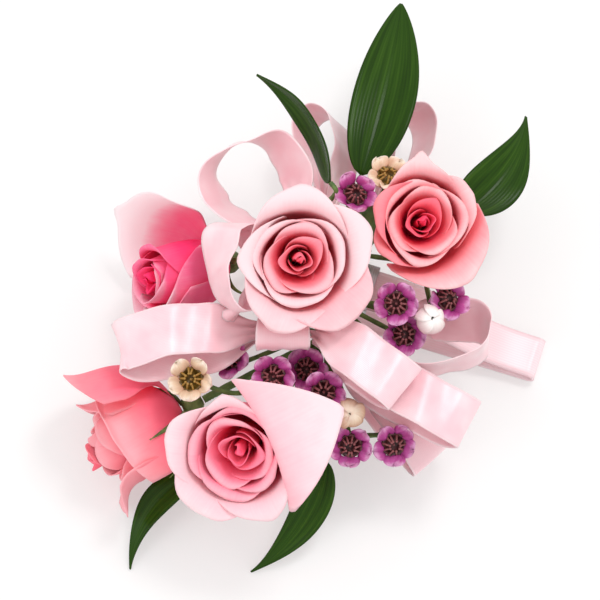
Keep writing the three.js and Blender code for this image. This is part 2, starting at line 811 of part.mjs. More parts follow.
// Taped stems: one bundle, with a wired stem to every hip, leaf, loop foot and wax flower. A stem leaves
// the bundle at its root, goes by any point given for it, and runs straight into what it carries.
function branch({ root, by = [] }, target, arrive, diameter, lead) {
  const end = target.clone().addScaledVector(arrive, -CLEARANCE);
  const before = end.clone().addScaledVector(arrive, -lead);
  const start = new THREE.Vector3(CLIP_X, root, bundleHeight);
  const curve = new THREE.CatmullRomCurve3([start, ...by.map(vector), before, end]);
  return bar(curve, diameter, 3 + by.length, 6);
}

const hipFoot = (rose) => vector(rose.base).addScaledVector(vector(rose.facing).normalize(), -HIP_HEIGHT);
const waxFoot = ({ place, facing }) =>
  vector(place).addScaledVector(vector(facing).normalize(), -WAX_CUP_DEPTH);
function loopFoot(loop) {
  const path = loopPath(loop);
  const inward = path.getTangentAt(0).sub(path.getTangentAt(1)).normalize();
  return { foot: path.getPointAt(0).lerp(path.getPointAt(1), 0.5), inward };
}

function stems() {
  const bundleEnd = (side) => new THREE.Vector3(CLIP_X, (side * BUNDLE_LENGTH) / 2, bundleHeight);
  const pieces = [bar(new THREE.LineCurve3(bundleEnd(-1), bundleEnd(1)), BUNDLE_DIAMETER, 1, 10)];
  for (const rose of roses) {
    pieces.push(branch(rose, hipFoot(rose), vector(rose.facing).normalize(), STEM_DIAMETER, 4));
  }
  for (const leaf of leaves) {
    const run = vector(leaf.tip).sub(vector(leaf.base)).normalize();
    pieces.push(branch(leaf, vector(leaf.base), run, WIRE_DIAMETER, 3));
  }
  for (const loop of loops) {
    const { foot, inward } = loopFoot(loop);
    pieces.push(branch(loop, foot, inward, WIRE_DIAMETER, 4));
  }
  for (const bloom of blooms) {
    pieces.push(branch(bloom, waxFoot(bloom), vector(bloom.facing).normalize(), WIRE_DIAMETER, 3));
  }
  return joined(pieces);
}

node("taped_stems", stems(), tapeGreen);

export default corsage;
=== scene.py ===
# A wrist corsage of five spray roses, leaves, wax flowers and satin ribbon loops, wired to a taped bundle of
# stems that a metal clip holds on an elastic band. Millimetres in the tables, metres in the meshes.
import math
import random
import bmesh
import bpy
from mathutils import Matrix, Vector, geometry


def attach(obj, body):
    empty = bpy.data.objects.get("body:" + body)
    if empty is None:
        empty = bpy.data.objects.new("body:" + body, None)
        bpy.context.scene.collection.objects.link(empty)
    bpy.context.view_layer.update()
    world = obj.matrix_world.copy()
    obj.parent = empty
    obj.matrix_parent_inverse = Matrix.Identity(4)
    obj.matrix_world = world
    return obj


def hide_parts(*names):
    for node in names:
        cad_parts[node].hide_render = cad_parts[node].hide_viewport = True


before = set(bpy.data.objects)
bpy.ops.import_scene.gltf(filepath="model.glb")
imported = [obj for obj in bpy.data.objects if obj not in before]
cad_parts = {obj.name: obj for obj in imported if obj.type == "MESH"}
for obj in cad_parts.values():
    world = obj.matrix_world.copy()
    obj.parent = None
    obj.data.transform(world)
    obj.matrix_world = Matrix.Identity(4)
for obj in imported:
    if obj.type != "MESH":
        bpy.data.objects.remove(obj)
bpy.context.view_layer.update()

# The camera looks down on the corsage as it lies on the table, 70 degrees above it and 18 degrees round from
# the front. The long lens is set back so that one pixel is 0.30 mm at the flowers.
aim = Vector((-0.02891, -0.01396, 0.032))
right_of_view = Vector((0.9511, 0.3090, 0))
up_of_view = Vector((-0.2904, 0.8937, 0.3420))
towards_eye = Vector((0.1057, -0.3253, 0.9397))
set_back = 0.8
lens = bpy.data.cameras.new("camera")
lens.lens = 160
lens.sensor_width = 36
lens.clip_start = 0.01
camera = bpy.data.objects.new("camera", lens)
turned_to_aim = Matrix((right_of_view, up_of_view, towards_eye)).transposed().to_4x4()
camera.matrix_world = Matrix.Translation(aim + set_back * towards_eye) @ turned_to_aim
bpy.context.collection.objects.link(camera)
bpy.context.scene.camera = camera
bpy.context.scene.view_settings.view_transform = "Standard"


# The table top: smooth white laminate, a plain sheet that the band and the lowest leaves lie on. It keeps
# the soft grey shadow of the flowers.
def linear(code):
    shares = [int(code[i:i + 2], 16) / 255 for i in (1, 3, 5)]
    return [c / 12.92 if c <= 0.04045 else ((c + 0.055) / 1.055) ** 2.4 for c in shares] + [1]


def add_node(tree, kind, inputs=None, stops=(), **settings):
    node = tree.nodes.new(kind)
    for name, value in settings.items():
        setattr(node, name, value)
    for name, value in (inputs or {}).items():
        if isinstance(value, bpy.types.NodeSocket):
            tree.links.new(value, node.inputs[name])
        else:
            node.inputs[name].default_value = value
    for i, (place, code) in enumerate(stops):
        stop = node.color_ramp.elements[i] if i < 2 else node.color_ramp.elements.new(place)
        stop.position = place
        stop.color = linear(code)
    return node


def new_finish(name, **constants):
    finish = bpy.data.materials.new(name)
    finish.use_nodes = True
    shader = finish.node_tree.nodes["Principled BSDF"]
    for socket, value in constants.items():
        shader.inputs[socket.replace("_", " ")].default_value = value
    return finish, finish.node_tree, shader


def made_piece(name, mesh, finishes):
    data = bpy.data.meshes.new(name)
    mesh.to_mesh(data)
    mesh.free()
    data.polygons.foreach_set("use_smooth", [True] * len(data.polygons))
    for finish in finishes:
        data.materials.append(finish)
    piece = bpy.data.objects.new(name, data)
    bpy.context.collection.objects.link(piece)
    return piece


# The rays that look at a surface straight, in a bright face or through a clear one.
def seen_rays(tree):
    rays = add_node(tree, "ShaderNodeLightPath")
    seen = add_node(tree, "ShaderNodeMath",
                    {0: rays.outputs["Is Camera Ray"], 1: rays.outputs["Is Glossy Ray"]},
                    operation="MAXIMUM")
    clear = add_node(tree, "ShaderNodeMath", {0: seen.outputs[0], 1: rays.outputs["Is Transmission Ray"]},
                     operation="MAXIMUM")
    return clear.outputs[0]


table_white, tree, shader = new_finish("white laminate", Roughness=0.6)
shader.inputs["Base Color"].default_value = linear("#F4F3F2")
# Looked at, it is lifted part of the way to white, as a lit studio table is, and keeps a paler shadow.
lifted = add_node(tree, "ShaderNodeMath", {0: seen_rays(tree), 1: 0.4}, operation="MULTIPLY")
glow = add_node(tree, "ShaderNodeEmission", {"Strength": 1.0})
both = add_node(tree, "ShaderNodeMixShader",
                {0: lifted.outputs[0], 1: shader.outputs[0], 2: glow.outputs[0]})
tree.links.new(both.outputs[0], tree.nodes["Material Output"].inputs["Surface"])
top = bmesh.new()
bmesh.ops.create_grid(top, x_segments=2, y_segments=2, size=3)
bmesh.ops.translate(top, verts=top.verts, vec=(0, 0, -0.0003))
table_top = made_piece("table_top", top, [table_white])

# The light: one soft box above and behind, a little to the right, so that satin and leaves shine and shadows
# fall forward, a weak fill sheet at the front left, and an even white room round them.
lamps = {"soft_box": ((0.2, 0.4, 0.9), 2.6, 0.24), "fill_sheet": ((-0.5, -0.45, 0.75), 1.0, 0.4)}
for name, (place, power, width) in lamps.items():
    lamp = bpy.data.lights.new(name, "AREA")
    lamp.energy = power
    lamp.size = width
    lamp_stand = bpy.data.objects.new(name, lamp)
    lamp_stand.location = aim + Vector(place)
    lamp_stand.rotation_euler = (-Vector(place)).to_track_quat("-Z", "Y").to_euler()
    bpy.context.collection.objects.link(lamp_stand)
room = bpy.data.worlds.new("white room")
room.use_nodes = True
tree = room.node_tree
level = add_node(tree, "ShaderNodeMapRange", {"Value": seen_rays(tree), "To Min": 0.95, "To Max": 1.0})
tree.links.new(level.outputs[0], tree.nodes["Background"].inputs["Strength"])
tree.nodes["Background"].inputs["Color"].default_value = linear("#FFFFFF")
bpy.context.scene.world = room

# The wrist band: one strip of satin-faced elastic, 13 mm wide and 1 mm thick, flattened on the table. Its
# ends meet inside the clip sleeve.
MM = 0.001
BAND_WIDTH = 13
BAND_THICKNESS = 1.0
BAND_STEPS = 420
# The strip lies on the table. It turns back at its free end and, in a wider turn, rises to the clip.
FREE_END = 42
FREE_TURN = 2
FAR_END = -32
FAR_TURN = 9.5
TABLE_LEVEL = BAND_THICKNESS / 2
FREE_LEVEL = TABLE_LEVEL + 2 * FREE_TURN
CLIP_LEVEL = TABLE_LEVEL + 2 * FAR_TURN
# Where its two cut ends are, inside the clip, and where it starts to slope down to its free end.
FIRST_CUT = -17.7
LAST_CUT = -18.3
SLOPE_START = -9.7
SLOPE_MIDDLE = 16.1
# The scale at which a wave texture draws about one stripe over a UV map.
ONE_STRIPE = 2 / 6.28


def spaced(points, count):
    lengths = [0]
    for a, b in zip(points, points[1:]):
        lengths.append(lengths[-1] + (b - a).length)
    found, i = [], 0
    for n in range(count + 1):
        want = lengths[-1] * n / count
        while i < len(points) - 2 and lengths[i + 1] < want:
            i += 1
        step = max(lengths[i + 1] - lengths[i], 1e-9)
        found.append(points[i].lerp(points[i + 1], min(1, (want - lengths[i]) / step)))
    return found, lengths[-1]


def turned(centre, radius, start, end, count):
    angles = [math.radians(start + (end - start) * n / count) for n in range(count + 1)]
    return [Vector((centre[0] + radius * math.cos(a), 0, centre[1] + radius * math.sin(a))) for a in angles]


def thickened(piece, thickness, offset=0):
    wall = piece.modifiers.new("thickness", "SOLIDIFY")
    wall.thickness = thickness * MM
    wall.offset = offset


slope = geometry.interpolate_bezier(
    Vector((SLOPE_START, 0, CLIP_LEVEL)), Vector((SLOPE_MIDDLE, 0, CLIP_LEVEL)),
    Vector((SLOPE_MIDDLE, 0, FREE_LEVEL)), Vector((FREE_END, 0, FREE_LEVEL)), 60)
band_line = [Vector((FIRST_CUT, 0, CLIP_LEVEL)), *slope,
             *turned((FREE_END, TABLE_LEVEL + FREE_TURN), FREE_TURN, start=90, end=-90, count=20),
             *turned((FAR_END, TABLE_LEVEL + FAR_TURN), FAR_TURN, start=270, end=90, count=40),
             Vector((LAST_CUT, 0, CLIP_LEVEL))]
band_steps, _ = spaced(band_line, BAND_STEPS)
strip = bmesh.new()
strip.loops.layers.uv.new("strip")
bmesh.ops.create_grid(strip, x_segments=8, y_segments=BAND_STEPS, size=1, calc_uvs=True)
for vert in strip.verts:
    here = band_steps[round((vert.co.y + 1) / 2 * BAND_STEPS)]
    vert.co = MM * Vector((here.x, BAND_WIDTH / 2 * vert.co.x, here.z))
satin_elastic, tree, shader = new_finish(
    "satin-faced knitted elastic", Roughness=0.34, Specular_IOR_Level=0.6, Anisotropic=0.4)
# Knitted ribs 0.8 mm apart run along the strip and 150 rows cross it, almost hidden by the satin face, which
# gives a soft shine.
weave = add_node(tree, "ShaderNodeUVMap", uv_map="strip")
ribs = add_node(tree, "ShaderNodeTexWave",
                {"Vector": weave.outputs[0], "Scale": BAND_WIDTH / 0.8 * ONE_STRIPE, "Distortion": 0.3},
                bands_direction="X")
rows = add_node(tree, "ShaderNodeTexWave", {"Vector": weave.outputs[0], "Scale": 150 * ONE_STRIPE},
                bands_direction="Y")
knit = add_node(tree, "ShaderNodeMath", {0: ribs.outputs["Fac"], 1: rows.outputs["Fac"]}, operation="ADD")
tint = add_node(tree, "ShaderNodeValToRGB", {"Fac": ribs.outputs["Fac"]},
                stops=((0, "#FAD8DE"), (1, "#FBE0E4")))
tree.links.new(tint.outputs[0], shader.inputs["Base Color"])
relief = add_node(tree, "ShaderNodeBump",
                  {"Height": knit.outputs[0], "Strength": 0.025, "Distance": 0.3 * MM})
tree.links.new(relief.outputs[0], shader.inputs["Normal"])
wrist_band = made_piece("wrist_band_elastic", strip, [satin_elastic])
thickened(wrist_band, BAND_THICKNESS)
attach(wrist_band, "corsage")
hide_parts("wrist_band")

# The clip: a sleeve of tinned sheet steel crimped round the band, with two tabs folded over the stems. Its
# faces are bright and finely brushed.
tinned_steel, tree, shader = new_finish("brushed tinned steel", Metallic=1.0)
spot = add_node(tree, "ShaderNodeTexCoord")
# Brush lines 0.3 mm apart, along the clip.
stretch = add_node(tree, "ShaderNodeMapping",
                   {"Vector": spot.outputs["Object"], "Scale": (3.3 / MM, 0.2 / MM, 3.3 / MM)})
brush = add_node(tree, "ShaderNodeTexNoise", {"Vector": stretch.outputs[0], "Scale": 1.0, "Detail": 3.0})
grey = add_node(tree, "ShaderNodeValToRGB", {"Fac": brush.outputs["Fac"]},
                stops=((0.3, "#B9BBBE"), (0.7, "#D9DADC")))
gloss = add_node(tree, "ShaderNodeMapRange",
                 {"Value": brush.outputs["Fac"], "To Min": 0.22, "To Max": 0.42})
tree.links.new(grey.outputs[0], shader.inputs["Base Color"])
tree.links.new(gloss.outputs[0], shader.inputs["Roughness"])
for name in ("clip_sleeve", "clip_tab_right", "clip_tab_left"):
    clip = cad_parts[name]
    clip.data.materials.clear()
    clip.data.materials.append(tinned_steel)

# The taped stems: every rose, leaf, loop and wax flower is on a wire, and all the wires are wrapped in green
# crepe tape into one bundle, which the clip holds. Each branch leaves the bundle and curves to its pick.
BUNDLE = Vector((-18, 0, 25.4))
BUNDLE_REACH = 24
BUNDLE_WIDTH = 8
HIP_DEPTH = 7
CUP_DEPTH = 5
FOOT_GAP = 2.5
STEM_GAP = 0.3
ROSE_STEM = 2.4
TAPED_WIRE = 1.5
LONG_LEAD = 4
SHORT_LEAD = 3
# Each rose: its base, the way it faces, its size, where its stem leaves the bundle and what the stem passes.
roses = {
    "rose_center": ((-33.2, -4.6, 41), (0.167, -0.354, 0.92), 1.0, 13, [(-33.5, 7.5, 28.5)]),
    "rose_right": ((-3, 18, 35), (0.185, -0.248, 0.951), 0.9, 20, []),
    "rose_lower": ((-30.2, -55.3, 25), (-0.017, -0.593, 0.805), 1.0, -22, []),
    "rose_lower_left": ((-53, -53.5, 17.3), (-0.68, -0.723, -0.08), 0.95, -20, []),
    "rose_upper_left": ((-57, -4.7, 17), (-0.641, -0.61, 0.466), 0.95, 17, [(-38, 14, 18)]),
}
# Each leaf: its base and tip, its width, the way its face looks, its arch and sweep, where its stem leaves
# the bundle and what the stem passes, and how the blade narrows towards its base and its tip.
leaves = {
    "leaf_top": ((-23.5, 30, 33), (-29.5, 90.4, 30), 20, (0.1, -0.3, 0.95), 3, -1.5, 22, [], (0.6, 0.9)),
    "leaf_upper_left": ((-30, 18.5, 49), (-62, 45.5, 48), 13, (-0.6, -0.7, 0.25), -6, 0, 15, [(-30, 14, 37)],
                        (0.6, 1.2)),
    "leaf_right": ((9.5, 29, 31), (18.4, 67.2, 26), 17, (0.2, -0.2, 0.95), 3, -3.6, 22, [], (0.5, 1.4)),
    "leaf_lower_left": ((-44, -69, 11), (-54.5, -101, 0.4), 10, (-0.3, -0.3, 0.9), 3, -4, -23,
                        [(-36, -52, 15)], (0.5, 1.3)),
    "leaf_lower": ((-7.8, -54.9, 18), (-19.5, -90.5, 0.4), 12, (0.3, -0.3, 0.9), 3, 4, -22, [], (0.5, 1.3)),
}
# Each loop: where its stem leaves the bundle, the way across the ribbon at its start and at its end, its
# middle line, and the width that its foot is pinched to.
loops = {
    "ribbon_loop_left": (-12, (-0.5, 0.86, 0), (-0.5, 0.86, 0), [
        (-37, -27, 35.5), (-42.5, -31, 40), (-51.5, -35, 43.3), (-62, -40, 45.5), (-69, -45, 45),
        (-73.5, -48, 42), (-69, -48, 38), (-59.5, -43, 36.5), (-48, -37, 36), (-37.5, -29, 34)], 6),
    "ribbon_loop_upper_left": (14, (-0.37, -0.46, 0.81), (0.7, 0, 0.7), [
        (-39, 6.5, 35), (-51, 3.5, 38), (-61.5, 6, 40), (-65.5, 14, 41), (-62, 24, 41),
        (-52, 28, 41), (-43, 23, 40), (-39, 14, 37), (-38.5, 8, 33.5)], 6),
    "ribbon_loop_side": (-9, (0.78, 0.02, 0.62), (0.3, -0.2, 0.93), [
        (-43, -12.2, 36.3), (-48, -3, 43.5), (-52.8, -2.2, 48.3), (-55.5, -6, 50.3), (-54, -13, 50.5),
        (-51.5, -21, 50.8), (-47, -27.3, 50.5), (-43.2, -28.8, 49), (-42, -25.5, 46.5), (-43.4, -19.5, 41),
        (-43.5, -13.5, 35)], 6),
    "ribbon_loop_top": (18, (-0.43, -0.14, 0.89), (-0.43, -0.14, 0.89), [
        (-32, 19.5, 21.5), (-38, 32, 20.4), (-44.7, 39.6, 18.4), (-46.7, 47, 18.6), (-43.6, 51.3, 20.8),
        (-37.5, 48.5, 23.3), (-32.6, 41.4, 24.5), (-30.5, 32.7, 24.1), (-30.5, 20, 22)], 6),
    "ribbon_loop_top_right": (22, (0.44, 0.02, 0.9), (0.44, 0.02, 0.9), [
        (-16.5, 29, 18.5), (-19.6, 44.1, 19.9), (-22.3, 52.4, 21), (-20.6, 59.8, 20), (-16.1, 62.4, 17.7),
        (-12, 58.8, 15.8), (-10.1, 51.9, 15.1), (-11.2, 42.7, 15.8), (-15.5, 29, 18)], 6),
    "ribbon_loop_curl": (-14, (0.95, 0.31, 0), (0.95, 0.31, 0), [
        (-30.5, -25, 40), (-30.5, -25.5, 46), (-29, -30, 50), (-27.5, -34.5, 49), (-27.5, -35, 45),
        (-28.5, -32, 41.5), (-30, -27, 38.5)], 13),
    "ribbon_loop_front_short": (-13, (0.34, 0.94, 0), (0.34, 0.94, 0), [
        (-21, -25, 42), (-15.5, -26.5, 47.5), (-8, -29.5, 49.5), (1.5, -33, 49.5), (8, -35, 48),
        (10.5, -35.5, 45), (6.5, -34.5, 42), (-4.5, -30.5, 41), (-14, -27, 41), (-20, -25.5, 40)], 6),
    "ribbon_loop_front_long": (-14, (0.2, 0.98, 0), (0.2, 0.98, 0), [
        (-15.5, -26, 36.5), (-8, -28, 37.5), (4.5, -31.5, 38), (18, -34.5, 38), (27, -36, 36),
        (31, -36, 32), (27, -36, 28.5), (15, -34, 28), (0, -31, 29.5), (-13.5, -27.5, 34.5)], 6),
    "ribbon_loop_lower": (-16, (0.4, 0.9, 0), (0.4, 0.9, 0), [
        (-8, -24, 23), (-1, -27.5, 22), (8, -33, 20.5), (17, -39, 18.5), (23, -43.5, 14.5),
        (21, -42, 10), (12, -36, 9.5), (2, -30, 13), (-7, -25.5, 21)], 6),
    "ribbon_loop_right": (-10, (-0.19, 0.59, 0.79), (0.03, -0.09, 1), [
        (1.5, -14.5, 25.5), (8.3, -6.7, 27), (15.6, -5, 28), (23.2, -3.3, 29), (28.1, -6.6, 30.5),
        (27.9, -12.2, 32), (23.8, -17.3, 32.5), (17.2, -21.3, 32), (10.1, -23.2, 30), (2.5, -16.5, 24)], 6),
}
# Each wax flower: its place, the way it faces, its look, where its stem leaves the bundle and what the stem
# passes.
blooms = {
    "wax_flower_top": ((-22, 18, 46), (0.2, 0.1, 1), "purple", 19, []),
    "wax_flower_top_cream": ((-14.5, 28, 43), (0.1, 0.3, 0.95), "cream", 22, []),
    "wax_flower_right_1": ((0, -11.5, 47), (0, -0.3, 1), "purple", -8, []),
    "wax_flower_right_2": ((4.5, -17.5, 40), (0.3, -0.3, 1), "purple", -9, []),
    "wax_flower_right_3": ((13.5, -3.5, 41), (0.5, 0.1, 0.9), "purple", 8, [(2, 6, 33)]),
    "wax_bud_right": ((10.5, -12.5, 45), (0.3, -0.2, 1), "white bud", -7, []),
    "wax_flower_front_1": ((-28, -42, 40), (-0.1, -0.4, 1), "purple", -21, []),
    "wax_flower_front_2": ((-20, -35, 34.5), (0, -0.4, 1), "purple", -19, []),
    "wax_flower_front_3": ((-12.5, -42, 40), (0.1, -0.4, 1), "purple", -20, []),
    "wax_flower_left_cream": ((-50.5, -50.7, 41.7), (-0.1, -0.3, 1), "cream", -19, [(-37, -46, 28)]),
    "wax_flower_left": ((-43.3, -38, 31.5), (-0.2, -0.2, 1), "purple", -17, []),
    "wax_bud_low": ((-3.5, -45, 37), (0.1, -0.3, 1), "cream bud", -22, []),
    "wax_flower_low_1": ((-1, -52, 29.3), (0.2, -0.6, 0.8), "purple", -23, []),
    "wax_flower_low_2": ((11, -47, 27), (0.4, -0.5, 0.8), "purple", -23, [(-4, -46, 23)]),
}


def smooth_line(points, per_span):
    ends = [2 * points[0] - points[1], *points, 2 * points[-1] - points[-2]]
    line = []
    for a, b, c, d in zip(ends, ends[1:], ends[2:], ends[3:]):
        before, span, after = ((q - p).length ** 0.5 for p, q in ((a, b), (b, c), (c, d)))
        leave = (b - a) / before - (c - a) / (before + span) + (c - b) / span
        arrive = (c - b) / span - (d - b) / (span + after) + (d - c) / after
        line += geometry.interpolate_bezier(b, b + leave * span / 3, c - arrive * span / 3, c, per_span)
    return line


def loop_ends(points, across):
    first, *rest, last = [Vector(p) for p in points]
    foot = first.lerp(last, 0.5)
    spread = (rest[0] + rest[-1] - 2 * foot).cross(Vector(across)).normalized() * FOOT_GAP / 2
    if spread.dot(rest[0] - rest[-1]) < 0:
        spread = -spread
    return [foot + spread, *rest, foot - spread], foot


# Each branch: where it leaves the bundle, what it passes, its end and its heading there, its thickness, and
# how far it runs straight before its end.
branches = []
for base, facing, size, root, by in roses.values():
    ahead = Vector(facing).normalized()
    branches.append((root, by, Vector(base) - HIP_DEPTH * size * ahead, ahead, ROSE_STEM, LONG_LEAD))
for base, tip, *_, root, by, _ in leaves.values():
    ahead = (Vector(tip) - Vector(base)).normalized()
    branches.append((root, by, Vector(base), ahead, TAPED_WIRE, SHORT_LEAD))
for root, across, _, points, _ in loops.values():
    placed, foot = loop_ends(points, across)
    ahead = (placed[1] + placed[-2] - 2 * foot).normalized()
    branches.append((root, [], foot, ahead, TAPED_WIRE, LONG_LEAD))
for place, facing, _, root, by in blooms.values():
    ahead = Vector(facing).normalized()
    branches.append((root, by, Vector(place) - CUP_DEPTH * ahead, ahead, TAPED_WIRE, SHORT_LEAD))

stem_line = bpy.data.curves.new("taped_stems_wrapped", "CURVE")
stem_line.dimensions = "3D"
stem_line.bevel_depth = 0.5 * MM
stem_line.bevel_resolution = 4
stem_line.use_fill_caps = True


def tape_over(line, diameter):
    strand = stem_line.splines.new("POLY")
    strand.points.add(len(line) - 1)
    for n, (point, here) in enumerate(zip(strand.points, line)):
        point.co = (*(MM * here), 1)
        # The turns of the tape make the stem swell and narrow a little.
        point.radius = diameter * (1 + 0.06 * math.sin(n * 1.9))
    strand.use_smooth = True


tape_over([BUNDLE + Vector((0, y, 0)) for y in range(-BUNDLE_REACH, BUNDLE_REACH + 1)], BUNDLE_WIDTH)
for root, by, target, ahead, diameter, lead in branches:
    end = target - STEM_GAP * ahead
    knots = [BUNDLE + Vector((0, root, 0)), *[Vector(p) for p in by], end - lead * ahead, end]
    tape_over(smooth_line(knots, per_span=14), diameter)
crepe_tape, tree, shader = new_finish("waxed crepe stem tape", Roughness=0.72)
spot = add_node(tree, "ShaderNodeTexCoord")
# The tape is dull, with crepe wrinkles 0.5 mm apart and dye that is mottled over 4 mm.
crinkle = add_node(tree, "ShaderNodeTexNoise",
                   {"Vector": spot.outputs["Object"], "Scale": 2 / MM, "Detail": 3.0})
mottle = add_node(tree, "ShaderNodeTexNoise",
                  {"Vector": spot.outputs["Object"], "Scale": 0.25 / MM, "Detail": 2.0})
dye = add_node(tree, "ShaderNodeValToRGB", {"Fac": mottle.outputs["Fac"]},
               stops=((0.3, "#3F5A2B"), (0.7, "#6C8A48")))
relief = add_node(tree, "ShaderNodeBump",
                  {"Height": crinkle.outputs["Fac"], "Strength": 0.5, "Distance": 0.2 * MM})
tree.links.new(dye.outputs[0], shader.inputs["Base Color"])
tree.links.new(relief.outputs[0], shader.inputs["Normal"])
stem_line.materials.append(crepe_tape)
taped_stems = bpy.data.objects.new("taped_stems_wrapped", stem_line)
bpy.context.collection.objects.link(taped_stems)
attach(taped_stems, "corsage")
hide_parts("taped_stems")


# The rose hips: under each bloom a small green hip, with five narrow sepals that stand out from its top and
# curl down. Their skin is matt and mottled.
def smooth(share):
    share = min(1, max(0, share))
    return share * share * (3 - 2 * share)


def pose_of(place, facing):
    turn = Vector((0, 0, 1)).rotation_difference(Vector(facing)).to_matrix().to_4x4()
    return Matrix.Translation(MM * Vector(place)) @ turn


def spun(mesh, profile, size, steps):
    rim = [mesh.verts.new((MM * size * r, 0, MM * size * z)) for r, z in profile]
    edges = [mesh.edges.new(pair) for pair in zip(rim, rim[1:])]
    bmesh.ops.spin(mesh, geom=rim + edges, cent=(0, 0, 0), axis=(0, 0, 1), angle=2 * math.pi, steps=steps,
                   use_merge=True)


hip_green, tree, shader = new_finish("rose hip and sepal skin", Roughness=0.6)
spot = add_node(tree, "ShaderNodeTexCoord")
# The green is mottled over 2.5 mm.
mottle = add_node(tree, "ShaderNodeTexNoise",
                  {"Vector": spot.outputs["Object"], "Scale": 0.4 / MM, "Detail": 4.0})
skin = add_node(tree, "ShaderNodeValToRGB", {"Fac": mottle.outputs["Fac"]},
                stops=((0.3, "#46602A"), (0.7, "#7C9450")))
tree.links.new(skin.outputs[0], shader.inputs["Base Color"])
relief = add_node(tree, "ShaderNodeBump",
                  {"Height": mottle.outputs["Fac"], "Strength": 0.3, "Distance": 0.3 * MM})
tree.links.new(relief.outputs[0], shader.inputs["Normal"])
hip_profile = [(0, -HIP_DEPTH), (1.4, -6.9), (2.8, -5.6), (3.9, -3.4), (3.9, -1.6), (3.0, -0.3), (0, -0.1)]
SEPALS = 5
SEPAL_THICKNESS = 0.3
# How far each sepal stands out and how far its tip rises. The rose that is seen from its side holds its
# sepals up against the petals.
usual_curl = (9.5, -5.4)
sepal_curls = {"rose_lower_left": (13.5, 13)}
for name, (base, facing, size, *_) in roses.items():
    hip = bmesh.new()
    spun(hip, hip_profile, size, steps=28)
    bmesh.ops.remove_doubles(hip, verts=hip.verts, dist=1e-6)
    bmesh.ops.recalc_face_normals(hip, faces=hip.faces)
    sweep, tip = sepal_curls.get(name, usual_curl)
    for n in range(SEPALS):
        blade = bmesh.ops.create_grid(hip, x_segments=4, y_segments=14, size=1)
        spin = Matrix.Rotation(math.radians(360 / SEPALS * n + 20), 4, "Z")
        for vert in blade["verts"]:
            u, v = vert.co.x, (vert.co.y + 1) / 2
            half = 1.5 * (1 - v) ** 0.7 * (0.7 + 0.6 * v)
            out = 3.2 + sweep * v ** 0.7
            rise = -0.8 + 1.6 * math.sin(2.2 * v) + tip * v * v + 0.5 * u * u
            vert.co = spin @ (MM * size * Vector((out, half * u, rise)))
    bmesh.ops.transform(hip, matrix=pose_of(base, facing), verts=hip.verts)
    calyx = made_piece(name + "_hip", hip, [hip_green])
    thickened(calyx, SEPAL_THICKNESS, offset=-1)
    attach(calyx, "corsage")
    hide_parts(name + "_calyx")


# The roses: soft petals on the hip, in three whorls. Broad outer petals open and roll their rims back, inner
# ones cup the middle, and the heart is a tight spiral. The colour runs from crimson in the heart to pale at
# the rims: partly the rose's own colour, partly painted shade deep in the bloom and a painted highlight
# along each petal's rim.
def petal(bloom, tone_and_shade, pose, turn, reach, height, width, belly, tones, skew, phase, lip=60, share=0.14,
          soon=1.0, bend=1.1, tuck=0.6, drop=0.25, corner=2.6, point=0.02, wave=0.5, rise=0.2, rim=0.12):
    seat = 2.6
    grid = bmesh.ops.create_grid(bloom, x_segments=24, y_segments=34, size=1, calc_uvs=True)
    knots = ((seat, 0.5), (belly * 1.2, 0.12 * height), (belly + 0.25 * (reach - belly), 0.7 * height),
             (reach, height))
    heading = math.atan2(reach - knots[2][0], height - knots[2][1])
    roll = 1.15 * math.hypot(reach - seat, height) * share / (1 - share)
    aside = Matrix.Rotation(math.radians(turn), 3, "Z")
    for vert in grid["verts"]:
        u, v = vert.co.x, (vert.co.y + 1) / 2
        s = v * (1 - drop * abs(u) ** corner + skew * u) + point * v ** 8 * math.exp(-(u / 0.15) ** 2)
        # The midrib rises from the seat over the belly to the rim.
        t = min(s / (1 - share), 1)
        weights = ((1 - t) ** 3, 3 * t * (1 - t) ** 2, 3 * t * t * (1 - t), t ** 3)
        r, z = (sum(w * knot[i] for w, knot in zip(weights, knots)) for i in (0, 1))
        # Past the rim, the lip rolls back by its angle and then runs straight on.
        past = max(0, (s - 1 + share) / share)
        curl = math.radians(lip) * (1 - 0.3 * u * u)
        turned_by = curl * min(past / soon, 1)
        r += roll * soon * (math.cos(heading) - math.cos(heading + turned_by)) / curl
        z += roll * soon * (math.sin(heading + turned_by) - math.sin(heading)) / curl
        r += roll * max(0, past - soon) * math.sin(heading + curl)
        z += roll * max(0, past - soon) * math.cos(heading + curl)
        # Across, the petal bows round the bloom, one side tucked in, with a wavy rim.
        half = width / 2 * (0.16 + 0.84 * smooth(s / 0.6))
        bow = max(r, 1.2) * bend
        angle = max(-2.7, min(2.7, u * half / bow))
        out = r - bow * (1 - math.cos(angle)) + tuck * u + wave * s ** 3 * math.sin(6 * u + phase)
        vert.co = pose @ (MM * (aside @ Vector((out, bow * math.sin(angle), z))))
        # Near its outline the petal is made paler by rim, a painted highlight. Lower down it darkens towards
        # the seat: its own deeper colour and painted shade.
        rim_highlight = smooth((max(abs(u), s) - 0.88) / 0.12)
        vert[tone_and_shade] = tones[0] + (tones[1] - tones[0]) * smooth((s - rise) / (1 - rise)) + rim * rim_highlight


# Each bloom's colours, from the depth of its heart to its palest rims.
petal_looks = {
    "rose_center": ("#FF3358", "#FF6078", "#FF8C9A", "#FFBAC1", "#FFDBDF"),
    "rose_right": ("#E81E5C", "#FF5074", "#FF7A88", "#FF9AA2", "#FFD0D2"),
    "rose_lower": ("#FF2C60", "#FF5A7E", "#FF8AA2", "#FFC0CA", "#FFDFE4"),
    "rose_lower_left": ("#F03A68", "#FA5878", "#FF7288", "#FF909C", "#FFB4BC"),
    "rose_upper_left": ("#FF1A62", "#FF3C76", "#FF6C98", "#FFB4C8", "#FFF0F3"),
}
